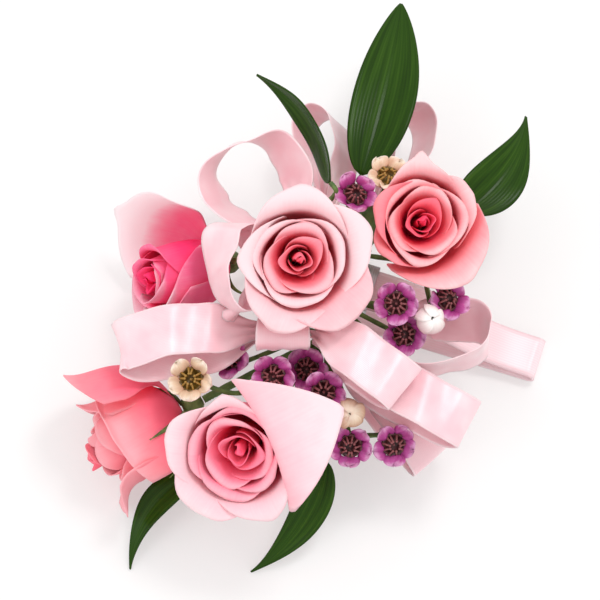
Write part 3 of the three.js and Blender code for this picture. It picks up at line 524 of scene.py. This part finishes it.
# Each row is one petal: its turn round the bloom, the reach and height of its rim, its width and belly, and
# what differs from the usual petal.
outer_petals = {
    "rose_center": [
        (108, 14.8, 22.5, 36, 12, {"lip": 105, "share": 0.21}),
        (40, 15, 22, 36, 12, {"lip": 100, "share": 0.22}),
        (-25, 15.5, 22, 34, 12, {"lip": 115, "share": 0.25, "tones": (0.4, 0.8)}),
        (-95, 15, 22, 34, 12, {"lip": 100, "share": 0.21, "tones": (0.4, 0.88)}),
        (200, 13, 22, 32, 11, {"lip": 95, "share": 0.16}),
    ],
    "rose_right": [
        (112, 15.5, 24, 30, 12.5, {"lip": 70, "share": 0.15, "point": 0.08, "tones": (0.35, 0.9)}),
        (185, 13.5, 25, 32, 12, {"lip": 110, "share": 0.14, "tones": (0.25, 0.6)}),
        (235, 14.5, 22, 26, 12, {"lip": 80, "tones": (0.25, 0.65)}),
        (-32, 17, 20.5, 44, 13, {"lip": 85, "share": 0.22, "bend": 1.25, "tones": (0.35, 0.85)}),
        (48, 14.5, 23, 30, 12, {"lip": 80, "tones": (0.35, 0.85)}),
    ],
    "rose_lower": [
        (40, 11.5, 24, 43, 9.5, {"lip": 100, "share": 0.45, "soon": 0.25, "bend": 6, "drop": 0.38,
                                 "corner": 1.6, "skew": 0.0, "tones": (0.5, 1.0)}),
        (-45, 15, 22, 32, 12, {"lip": 95, "share": 0.2, "tones": (0.4, 0.85)}),
        (-110, 15.5, 22, 34, 12, {"lip": 100, "share": 0.2, "tones": (0.4, 0.88)}),
        (185, 15, 22, 34, 12, {"lip": 100, "share": 0.2, "tones": (0.4, 0.88)}),
        (115, 14, 22.5, 28, 11.5, {"lip": 80, "tones": (0.4, 0.8)}),
    ],
    "rose_lower_left": [
        (107, 26.5, 25, 38, 22, {"lip": 14, "share": 0.08, "bend": 1.0, "drop": 0.22, "corner": 2.2,
                                 "point": 0, "skew": 0.0, "tones": (0.35, 0.75)}),
        (122, 16, 25, 30, 14.5, {"lip": 25, "share": 0.1}),
        (40, 14.5, 20.5, 40, 14, {"lip": 60, "share": 0.12, "bend": 1.25, "drop": 0.12, "point": 0.03,
                                  "tones": (0.35, 1.0)}),
        (306, 13, 24, 27, 12, {"lip": 55, "share": 0.26, "soon": 0.6, "bend": 1.8, "drop": 0.08}),
        (233, 12.2, 22, 36, 10.6, {"lip": 30}), (178, 13, 23, 28, 12, {}),
    ],
    "rose_upper_left": [
        (147, 26.5, 20.5, 44, 18, {"lip": 12, "share": 0.08, "bend": 1.0, "drop": 0.1, "corner": 3.4,
                                   "point": 0.06, "skew": -0.03, "tones": (0.52, 1.3), "rise": 0.35}),
        (232, 14, 23, 34, 12, {"lip": 30, "tones": (0.3, 0.7)}),
        (288, 13, 24, 34, 12, {"tones": (0.3, 0.6)}),
        (335, 11, 26, 36, 12, {"lip": 20, "share": 0.08, "skew": -0.22, "tones": (0.3, 0.6), "rim": 0.3}),
    ],
}
outer_tones = (0.45, 1.0)
# Most inner petals are cupped, with thin rims; those of the rose seen from its side are ruffled.
cupped = {"lip": 100, "share": 0.09, "tuck": 0.8, "bend": 1.02, "rise": 0.5}
ruffled = {"wave": 0.7, "lip": 25, "share": 0.06, "drop": 0.3, "corner": 2.2, "point": 0}
inner_petals = {
    "rose_center": [
        (40, 11.6, 22, 38, 8.8, {}), (165, 11.4, 22, 38, 8.8, {}), (285, 11.6, 21.8, 38, 8.8, {}),
        (100, 8.8, 21.3, 28, 4.5, {"tones": (0.22, 0.68)}), (220, 8.8, 21, 28, 4.5, {"tones": (0.22, 0.64)}),
        (340, 8.8, 21.3, 28, 4.5, {"tones": (0.22, 0.68)}),
    ],
    "rose_right": [
        (155, 12, 23.5, 36, 9.5, {}), (275, 12, 22, 36, 9.5, {}), (30, 12, 22.5, 36, 9.5, {}),
        (95, 9.6, 22.4, 28, 4.5, {}), (215, 9.6, 21.4, 28, 4.5, {}), (335, 9.6, 21.6, 28, 4.5, {}),
    ],
    "rose_lower": [
        (95, 12, 22.2, 36, 9, {}), (185, 12, 22.2, 36, 9, {}), (270, 12, 22, 36, 9, {}),
        (345, 11, 22, 28, 8.6, {}), (130, 8.8, 21.2, 28, 4.5, {}), (245, 8.8, 21, 28, 4.5, {}),
        (5, 8.8, 21, 28, 4.5, {}),
    ],
    "rose_lower_left": [
        (70, 9.5, 26, 26, 11.5, ruffled), (150, 9.5, 27, 26, 11.5, ruffled),
        (230, 9.5, 26, 26, 11.5, ruffled), (310, 9.5, 26, 26, 11.5, ruffled),
        (30, 6.5, 29, 22, 10.5, ruffled), (110, 6.5, 29, 22, 10.5, ruffled),
        (190, 6.5, 29, 22, 10.5, ruffled), (270, 6.5, 29, 22, 10.5, ruffled),
    ],
    "rose_upper_left": [
        (350, 7.5, 28, 32, 10, {"lip": 12, "share": 0.05, "skew": -0.2, "rim": 0.3}),
        (100, 9.5, 25, 30, 10, {}), (215, 9.5, 26, 30, 10, {"rim": 0.3}),
        (40, 5.5, 27, 26, 9, {"lip": 10, "share": 0.05, "skew": -0.1, "rim": 0.3}),
        (160, 6.5, 27, 22, 8, {}),
    ],
}
# The inner whorls and the hearts take deeper tones: the rose's own deeper colour there and painted shade
# deep in the bloom.
inner_tones = {"rose_center": (0.32, 0.84), "rose_right": (0.2, 0.8), "rose_lower": (0.12, 0.58),
               "rose_lower_left": (0.3, 0.9), "rose_upper_left": (0.2, 0.42)}
# Each heart: how many petals, the reach and height of the widest and of the tightest, the first one's turn,
# and the tones from its depth to its rims. Its petals follow each other by the turn that leaves keep round a
# stem.
STEM_TURN = 137.5
hearts = {
    "rose_center": (5, 5.6, 19.6, 0.5, 19.8, 60, 0.15, 0.55),
    "rose_right": (5, 5.8, 20.4, 0.5, 20.6, 80, 0.05, 0.45),
    "rose_lower": (5, 5.6, 19.6, 0.5, 19.8, 10, 0.1, 0.5),
    "rose_lower_left": (5, 4.5, 30, 0.8, 29.5, 60, 0.2, 0.7),
    "rose_upper_left": (6, 4.6, 26.5, 0.5, 26.8, 30, 0.05, 0.35),
}
PETAL_THICKNESS = 0.3
for name, (base, facing, size, *_) in roses.items():
    dice = random.Random(name)
    pose = pose_of(base, facing) @ Matrix.Scale(size, 4)
    petal_skin, tree, shader = new_finish(
        name.replace("_", " ") + " petal, fresh and velvety", Roughness=0.6, Specular_IOR_Level=0.2)
    # The tone read here holds the petal's own colour, painted shade deep in the bloom and a painted
    # highlight at its rim.
    grown_and_shaded = add_node(tree, "ShaderNodeAttribute", attribute_name="tone_and_shade")
    lay = add_node(tree, "ShaderNodeUVMap", uv_map="petal")
    # The skin is matt. Veins 0.5 to 0.9 mm apart fan along the petal, and the flush is blotched over 5 mm.
    fan = add_node(tree, "ShaderNodeMapping", {"Vector": lay.outputs[0], "Scale": (50, 2.5, 1)})
    veins = add_node(tree, "ShaderNodeTexNoise", {"Vector": fan.outputs[0], "Scale": 1.0, "Detail": 3.0})
    spot = add_node(tree, "ShaderNodeTexCoord")
    flush = add_node(tree, "ShaderNodeTexNoise",
                     {"Vector": spot.outputs["Object"], "Scale": 0.2 / MM, "Detail": 2.0})
    mixed = add_node(tree, "ShaderNodeMath", {0: veins.outputs["Fac"], 1: 0.10, 2: grown_and_shaded.outputs["Fac"]},
                     operation="MULTIPLY_ADD")
    blotched = add_node(tree, "ShaderNodeMath", {0: flush.outputs["Fac"], 1: 0.14, 2: mixed.outputs[0]},
                        operation="MULTIPLY_ADD")
    evened = add_node(tree, "ShaderNodeMath", {0: blotched.outputs[0], 1: 0.12}, operation="SUBTRACT")
    stops = [(i / 4, code) for i, code in enumerate(petal_looks[name])]
    colour = add_node(tree, "ShaderNodeValToRGB", {"Fac": evened.outputs[0]},
                      stops=[stops[0], stops[4], *stops[1:4]])
    tree.links.new(colour.outputs[0], shader.inputs["Base Color"])
    relief = add_node(tree, "ShaderNodeBump",
                      {"Height": veins.outputs["Fac"], "Strength": 0.25, "Distance": 0.2 * MM})
    tree.links.new(relief.outputs[0], shader.inputs["Normal"])
    whorls = {
        "outer_petals": [(*row, outer_tones) for row in outer_petals[name]],
        "inner_petals": [(*sizes, {**cupped, **changes}, inner_tones[name])
                         for *sizes, changes in inner_petals[name]],
        "heart": [],
    }
    count, wide, wide_top, tight, tight_top, start, deep, pale = hearts[name]
    for n in range(count):
        far = n / (count - 1)
        reach = wide + (tight - wide) * far
        height = wide_top + (tight_top - wide_top) * far
        rolled = {"lip": 70 - 150 * far, "share": 0.1, "tuck": 0.5, "bend": 1.02, "rim": 0}
        width, belly = 3.2 * reach + 2, reach * 0.45 + 0.6
        tones = (deep, pale - 0.25 * far)
        whorls["heart"].append((start + STEM_TURN * n, reach, height, width, belly, rolled, tones))
    for whorl, rows in whorls.items():
        bloom = bmesh.new()
        bloom.loops.layers.uv.new("petal")
        tone_and_shade = bloom.verts.layers.float.new("tone_and_shade")
        for *sizes, changes, tones in rows:
            usual = {"tones": tones, "skew": dice.uniform(-0.05, 0.05), "phase": dice.uniform(0, 6)}
            petal(bloom, tone_and_shade, pose, *sizes, **{**usual, **changes})
        piece = made_piece(f"{name}_{whorl}_soft", bloom, [petal_skin])
        thickened(piece, PETAL_THICKNESS)
        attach(piece, "corsage")
        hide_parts(f"{name}_{whorl}")

# The leaves: glossy ruscus leaves, thick and waxy, folded a little along the midrib, with veins that run
# from base to tip. Each is wired at its base.
LEAF_FOLD = math.radians(14)
LEAF_THICKNESS = 0.5
waxy_leaf, tree, shader = new_finish("glossy ruscus leaf", Roughness=0.24, Specular_IOR_Level=0.1)
lay = add_node(tree, "ShaderNodeUVMap", uv_map="blade")
# The blade is glossy and dark, with about 18 veins, just over 1 mm apart on the broadest one and only just
# paler, and streaks about 2 mm wide.
vein_settings = {"Scale": 5.7, "Distortion": 0.6, "Detail": 2.0, "Detail Scale": 2.0}
veins = add_node(tree, "ShaderNodeTexWave", {"Vector": lay.outputs[0], **vein_settings}, bands_direction="X")
stretch = add_node(tree, "ShaderNodeMapping", {"Vector": lay.outputs[0], "Scale": (9, 1.2, 1)})
streaks = add_node(tree, "ShaderNodeTexNoise", {"Vector": stretch.outputs[0], "Scale": 1.0, "Detail": 3.0})
veined = add_node(tree, "ShaderNodeMath", {0: veins.outputs["Fac"], 1: 0.07, 2: streaks.outputs["Fac"]},
                  operation="MULTIPLY_ADD")
green = add_node(tree, "ShaderNodeValToRGB", {"Fac": veined.outputs[0]},
                 stops=((0.25, "#1A300A"), (0.9, "#42641E"), (0.55, "#28460E")))
relief = add_node(tree, "ShaderNodeBump",
                  {"Height": veins.outputs["Fac"], "Strength": 0.08, "Distance": 0.3 * MM})
tree.links.new(green.outputs[0], shader.inputs["Base Color"])
tree.links.new(relief.outputs[0], shader.inputs["Normal"])
for name, (base, tip, width, face, arch, sweep, _, _, (base_taper, tip_taper)) in leaves.items():
    foot, end = Vector(base), Vector(tip)
    run = (end - foot).normalized()
    across = Vector(face).cross(run).normalized()
    lift = run.cross(across)
    widest = base_taper / (base_taper + tip_taper)
    fullest = widest ** base_taper * (1 - widest) ** tip_taper
    blade = bmesh.new()
    blade.loops.layers.uv.new("blade")
    bmesh.ops.create_grid(blade, x_segments=16, y_segments=56, size=1, calc_uvs=True)
    for vert in blade.verts:
        u, v = vert.co.x, (vert.co.y + 1) / 2
        half = width / 2 * (0.05 + 0.95 * v ** base_taper * (1 - v) ** tip_taper / fullest)
        hump = 4 * v * (1 - v)
        ripple = 0.35 * math.sin(9 * v + 2 * u) * abs(u) * hump
        aside = sweep * hump + half * u * math.cos(LEAF_FOLD)
        height = arch * hump + half * abs(u) * math.sin(LEAF_FOLD) + ripple
        vert.co = MM * (foot.lerp(end, v) + across * aside + lift * height)
    leaf = made_piece(name + "_blade", blade, [waxy_leaf])
    thickened(leaf, LEAF_THICKNESS)
    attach(leaf, "corsage")
    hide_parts(name)

# The wax flowers: five round waxy petals about a dark cup, with ten filaments that lean in from its rim and
# a style in the middle. The buds are still closed over the same cup.
WAX_PETALS = 5
WAX_THICKNESS = 0.25
FILAMENTS = 10
wax_looks = {
    # The petals' colours from their base to their rim, then the cup's and the filaments'.
    "purple": ("#9A2B76", "#BD529A", "#DFA2CB", "#3B161A", "#8C4E50"),
    "cream": ("#D9AE8E", "#E9CDB0", "#F6E6D4", "#5A4310", "#A8823C"),
    "white bud": ("#E7C6C8", "#F3E3E0", "#FAF3F0", "#8A9A58", "#C8A050"),
    "cream bud": ("#C99A78", "#E9CDB0", "#F4E2CC", "#5C3A1E", "#C8A050"),
}
wax_finishes = {}
for look, (deep, middle, pale, cup_colour, thread_colour) in wax_looks.items():
    # The petals have a low waxy gloss and veins about 0.4 mm apart. The cups are shinier, mottled over 1 mm.
    wax_skin, tree, shader = new_finish("waxy " + look + " petal", Roughness=0.45, Specular_IOR_Level=0.3)
    lay = add_node(tree, "ShaderNodeUVMap", uv_map="wax")
    fan = add_node(tree, "ShaderNodeMapping", {"Vector": lay.outputs[0], "Scale": (14, 2, 1)})
    veins = add_node(tree, "ShaderNodeTexNoise", {"Vector": fan.outputs[0], "Scale": 1.0, "Detail": 3.0})
    along = add_node(tree, "ShaderNodeSeparateXYZ", {"Vector": lay.outputs[0]})
    mixed = add_node(tree, "ShaderNodeMath", {0: veins.outputs["Fac"], 1: 0.4, 2: along.outputs["Y"]},
                     operation="MULTIPLY_ADD")
    colour = add_node(tree, "ShaderNodeValToRGB", {"Fac": mixed.outputs[0]},
                      stops=((0.2, deep), (1.0, pale), (0.7, middle)))
    tree.links.new(colour.outputs[0], shader.inputs["Base Color"])
    cup_skin, tree, shader = new_finish("waxy " + look + " cup", Roughness=0.3)
    spot = add_node(tree, "ShaderNodeTexCoord")
    mottle = add_node(tree, "ShaderNodeTexNoise", {"Vector": spot.outputs["Object"], "Scale": 0.9 / MM})
    colour = add_node(tree, "ShaderNodeValToRGB", {"Fac": mottle.outputs["Fac"]},
                      stops=((0.4, cup_colour), (1.0, thread_colour)))
    tree.links.new(colour.outputs[0], shader.inputs["Base Color"])
    thread_skin, tree, shader = new_finish(look + " filament", Roughness=0.5)
    shader.inputs["Base Color"].default_value = linear(thread_colour)
    wax_finishes[look] = [wax_skin, cup_skin, thread_skin]
# Places in that list of finishes; the petals take the first.
CUP = 1
THREAD = 2
cup_profile = [(0, -CUP_DEPTH), (0.8, -4.95), (1.9, -4.0), (3.2, -2.0), (3.7, -0.3), (3.55, 0.3),
               (3.2, 0.2), (2.8, -0.9), (1.6, -2.0), (0, -2.3)]


def painted(verts, finish):
    for vert in verts:
        for face in vert.link_faces:
            face.material_index = finish


for name, (place, facing, look, *_) in blooms.items():
    dice = random.Random(name)
    bloom = bmesh.new()
    bloom.loops.layers.uv.new("wax")
    budded = "bud" in look
    for n in range(WAX_PETALS):
        grid = bmesh.ops.create_grid(bloom, x_segments=10, y_segments=10, size=1, calc_uvs=True)
        turn = Matrix.Rotation(math.radians(360 / WAX_PETALS * n + dice.uniform(-6, 6)), 3, "Z")
        lift = dice.uniform(0.1, 1.0)
        broad = dice.uniform(2.6, 3.1)
        crumple = dice.uniform(0, 6)
        for vert in grid["verts"]:
            u, v = vert.co.x, (vert.co.y + 1) / 2
            if budded:
                rise = math.pi / 2 * v
                ball = 4.1 * math.cos(rise * 0.96) * (1 + 0.16 * u) + 0.3 * math.sin(3 * v + crumple)
                angle = 0.95 * u + 0.7 * v
                here = Vector((ball * math.cos(angle), ball * math.sin(angle),
                               (4.2 + lift) * math.sin(rise) - 0.4))
            else:
                half = broad * math.sqrt(max(0, 1 - (1.6 * v - 0.6) ** 2)) + 0.2
                arch = 0.1 + 2.2 * lift * math.sin(2.2 * v) - 1.2 * v * v * (1 - lift)
                ruffle = 1.1 * u * u * v + 0.6 * math.sin(5 * u + 4 * v + crumple)
                here = Vector((3.2 + 3.4 * v, half * u, arch + ruffle))
            vert.co = MM * (turn @ here)
    petal_faces = len(bloom.faces)
    spun(bloom, cup_profile, size=1, steps=20)
    bloom.faces.ensure_lookup_table()
    for face in bloom.faces[petal_faces:]:
        face.material_index = CUP
    if not budded:
        for n in range(FILAMENTS):
            round_by = 360 / FILAMENTS * (n + 0.5) + dice.uniform(-9, 9)
            round_cup = Matrix.Rotation(math.radians(round_by), 4, "Z")
            lean = Matrix.Rotation(dice.uniform(-1.15, -0.7), 4, "Y")
            thread = bmesh.ops.create_cone(
                bloom, segments=6, radius1=0.22 * MM, radius2=0.14 * MM, depth=2.4 * MM,
                matrix=round_cup @ Matrix.Translation((2.5 * MM, 0, 0.8 * MM)) @ lean)
            knob = bmesh.ops.create_icosphere(
                bloom, subdivisions=1, radius=0.34 * MM,
                matrix=round_cup @ Matrix.Translation((1.6 * MM, 0, 1.6 * MM)))
            painted(thread["verts"] + knob["verts"], THREAD)
        style = bmesh.ops.create_cone(bloom, segments=8, radius1=0.4 * MM, radius2=0.2 * MM, depth=3 * MM,
                                      matrix=Matrix.Translation((0, 0, -1 * MM)))
        painted(style["verts"], THREAD)
    bmesh.ops.remove_doubles(bloom, verts=bloom.verts, dist=1e-7)
    cup_faces = [face for face in bloom.faces if face.material_index == CUP]
    bmesh.ops.recalc_face_normals(bloom, faces=cup_faces)
    bmesh.ops.transform(bloom, matrix=pose_of(place, facing), verts=bloom.verts)
    flower = made_piece(name + "_waxy", bloom, wax_finishes[look])
    thickened(flower, WAX_THICKNESS)
    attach(flower, "corsage")
    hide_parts(name)

# The ribbon loops: double-faced satin ribbon 16 mm wide, looped, gathered at its foot and wired there. The
# face is pale pink with a soft shine across the threads, and the edges are woven selvedges.
RIBBON_WIDTH = 16
RIBBON_THICKNESS = 0.25
RIBBON_STEPS = 120
satin, tree, shader = new_finish("double-faced satin ribbon", Roughness=0.3, Specular_IOR_Level=0.65,
                                 Anisotropic=0.7, Sheen_Weight=0.4)
lay = add_node(tree, "ShaderNodeUVMap", uv_map="weave")
# Threads 0.25 mm apart run along the ribbon, drawn at 0.5 mm so they show.
threads = add_node(tree, "ShaderNodeTexWave",
                   {"Vector": lay.outputs[0], "Scale": RIBBON_WIDTH / 0.5 * ONE_STRIPE, "Distortion": 0.4},
                   bands_direction="X")
spot = add_node(tree, "ShaderNodeTexCoord")
# Blotches about 9 mm across make the satin lighter and darker: painted sheen and shade.
sheen_and_shade_blotches = add_node(tree, "ShaderNodeTexNoise",
                 {"Vector": spot.outputs["Object"], "Scale": 0.11 / MM, "Detail": 2.0})
tinted = add_node(tree, "ShaderNodeMath", {0: threads.outputs["Fac"], 1: 0.12, 2: sheen_and_shade_blotches.outputs["Fac"]},
                  operation="MULTIPLY_ADD")
# The selvedges, 0.5 mm wide at each side, are a little paler.
across_weave = add_node(tree, "ShaderNodeSeparateXYZ", {"Vector": lay.outputs[0]})
between = add_node(tree, "ShaderNodeMath", {0: across_weave.outputs["X"], 1: 0.5, 2: 0.47},
                   operation="COMPARE")
woven = add_node(tree, "ShaderNodeMath", {0: between.outputs[0], 1: -0.3, 2: tinted.outputs[0]},
                 operation="MULTIPLY_ADD")
edged = add_node(tree, "ShaderNodeMath", {0: woven.outputs[0], 1: 0.3}, operation="ADD")
colour = add_node(tree, "ShaderNodeValToRGB", {"Fac": edged.outputs[0]},
                  stops=((0.2, "#F6BBC5"), (0.9, "#FCDFE3"), (0.55, "#F9CCD3")))
relief = add_node(tree, "ShaderNodeBump",
                  {"Height": threads.outputs["Fac"], "Strength": 0.12, "Distance": 0.2 * MM})
tree.links.new(colour.outputs[0], shader.inputs["Base Color"])
tree.links.new(relief.outputs[0], shader.inputs["Normal"])
# The threads run along the ribbon, so the shine spreads across it.
grain = add_node(tree, "ShaderNodeTangent", direction_type="UV_MAP", uv_map="weave")
tree.links.new(grain.outputs[0], shader.inputs["Tangent"])
for name, (_, start_across, end_across, points, pinch) in loops.items():
    placed, _ = loop_ends(points, start_across)
    steps, length = spaced(smooth_line(placed, per_span=24), RIBBON_STEPS)
    cloth = bmesh.new()
    cloth.loops.layers.uv.new("weave")
    bmesh.ops.create_grid(cloth, x_segments=16, y_segments=RIBBON_STEPS, size=1, calc_uvs=True)
    phase = random.Random(name).uniform(0, 6)
    for vert in cloth.verts:
        u, n = vert.co.x, round((vert.co.y + 1) / 2 * RIBBON_STEPS)
        share = n / RIBBON_STEPS
        tangent = (steps[min(n + 1, RIBBON_STEPS)] - steps[max(n - 1, 0)]).normalized()
        across = Vector(start_across).normalized().lerp(
            Vector(end_across).normalized(), smooth(2.5 * share - 0.75))
        across = (across - across.dot(tangent) * tangent).normalized()
        out = across.cross(tangent)
        # The foot is pinched and pleated, and the loop sags and ripples once it has opened.
        opened = smooth(min(share, 1 - share) * length / RIBBON_WIDTH)
        half = (pinch + (RIBBON_WIDTH - pinch) * opened) / 2
        fold = 0.9 * (1 - opened) * math.cos(9.4 * u)
        sag = 0.35 * opened * (math.sin(14 * share + phase) * u + 0.8 * u * u)
        sag += 0.3 * opened * math.sin(share * length / 2.1 + phase + u)
        vert.co = MM * (steps[n] + across * half * u + out * (fold + sag))
    ribbon = made_piece(name + "_satin", cloth, [satin])
    thickened(ribbon, RIBBON_THICKNESS)
    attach(ribbon, "corsage")
    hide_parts(name)
